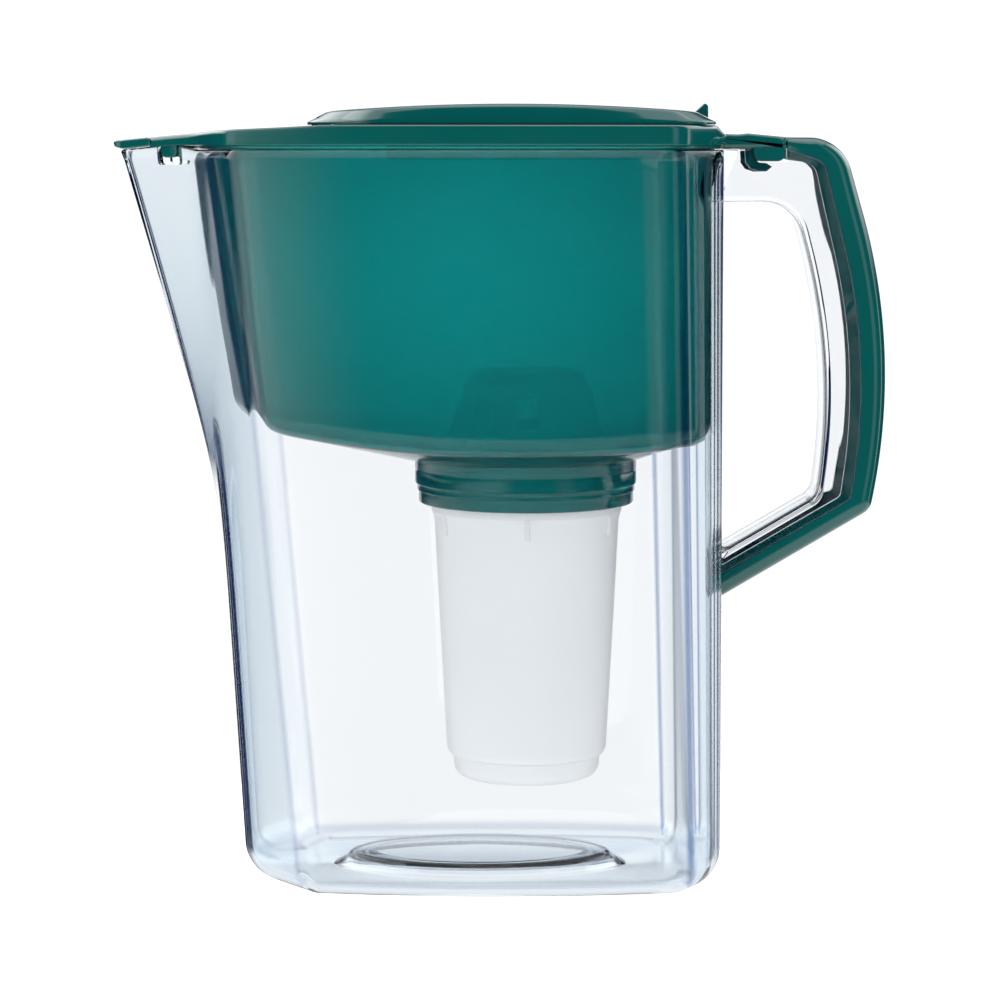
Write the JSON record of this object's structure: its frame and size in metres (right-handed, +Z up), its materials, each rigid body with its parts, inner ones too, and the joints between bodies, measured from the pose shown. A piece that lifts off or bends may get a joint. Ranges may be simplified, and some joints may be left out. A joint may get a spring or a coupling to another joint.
{
  "type": "water filter pitcher",
  "caption": "Clear filter jug with a V spout and framed handle, a hanging funnel reservoir, a drop-in filter cartridge, and a lid with a flip lid and a spout flap.",
  "frame": {"origin": "centre of the whole object's length and width, on the table under the jug", "axes": "+Z up, +X towards the handle, -X towards the spout, +Y to the far side when the spout points left"},
  "size_m": [0.2648, 0.1156, 0.267],
  "materials": {
    "clear_plastic": "polished clear plastic with a faint blue tint",
    "green_plastic": "glossy dark green moulded plastic",
    "tinted_plastic": "glossy teal plastic that lets some light through",
    "white_plastic": "satin white moulded plastic",
    "seal_rubber": "dark soft rubber",
    "mesh": "fine woven polyester mesh",
    "felt": "white needled felt",
    "sorbent": "black carbon granules with pale resin beads",
    "pin_steel": "ground stainless steel rod"
  },
  "bodies": {
    "jug": {"jug": "clear_plastic", "handle_frame": "clear_plastic", "handle_cover": "green_plastic"},
    "reservoir": {"reservoir": "tinted_plastic"},
    "cartridge": {"cartridge_cup": "white_plastic", "cartridge_base_cap": "white_plastic", "cartridge_seal": "seal_rubber", "lower_mesh": "mesh", "lower_felt": "felt", "sorbent_bed": "sorbent", "upper_felt": "felt", "upper_mesh": "mesh", "cartridge_cage": "white_plastic"},
    "lid": {"lid_base": "green_plastic", "lid_nose": "green_plastic", "lid_skirt": "green_plastic", "lid_catches": "green_plastic"},
    "flip_lid": {"flip_lid": "green_plastic", "flip_pin": "pin_steel"},
    "spout_flap": {"spout_flap": "green_plastic", "flap_pin": "pin_steel"}
  },
  "joints": [
    {"name": "reservoir_lift", "type": "slide", "parent": "jug", "child": "reservoir", "axis": [0, 0, 1], "range_m": [0, 0.225]},
    {"name": "cartridge_pull", "type": "slide", "parent": "reservoir", "child": "cartridge", "axis": [0, 0, 1], "range_m": [0, 0.075]},
    {"name": "lid_lift", "type": "slide", "parent": "reservoir", "child": "lid", "axis": [0, 0, 1], "range_m": [0, 0.06]},
    {"name": "flip_lid_hinge", "type": "hinge", "parent": "lid", "child": "flip_lid", "pos_m": [-0.0605, 0, 0.2582], "axis": [0, -1, 0], "range_deg": [0, 95]},
    {"name": "spout_flap_hinge", "type": "hinge", "parent": "lid", "child": "spout_flap", "pos_m": [-0.1199, 0, 0.25377], "axis": [0, 1, 0], "range_deg": [0, 70]}
  ]
}
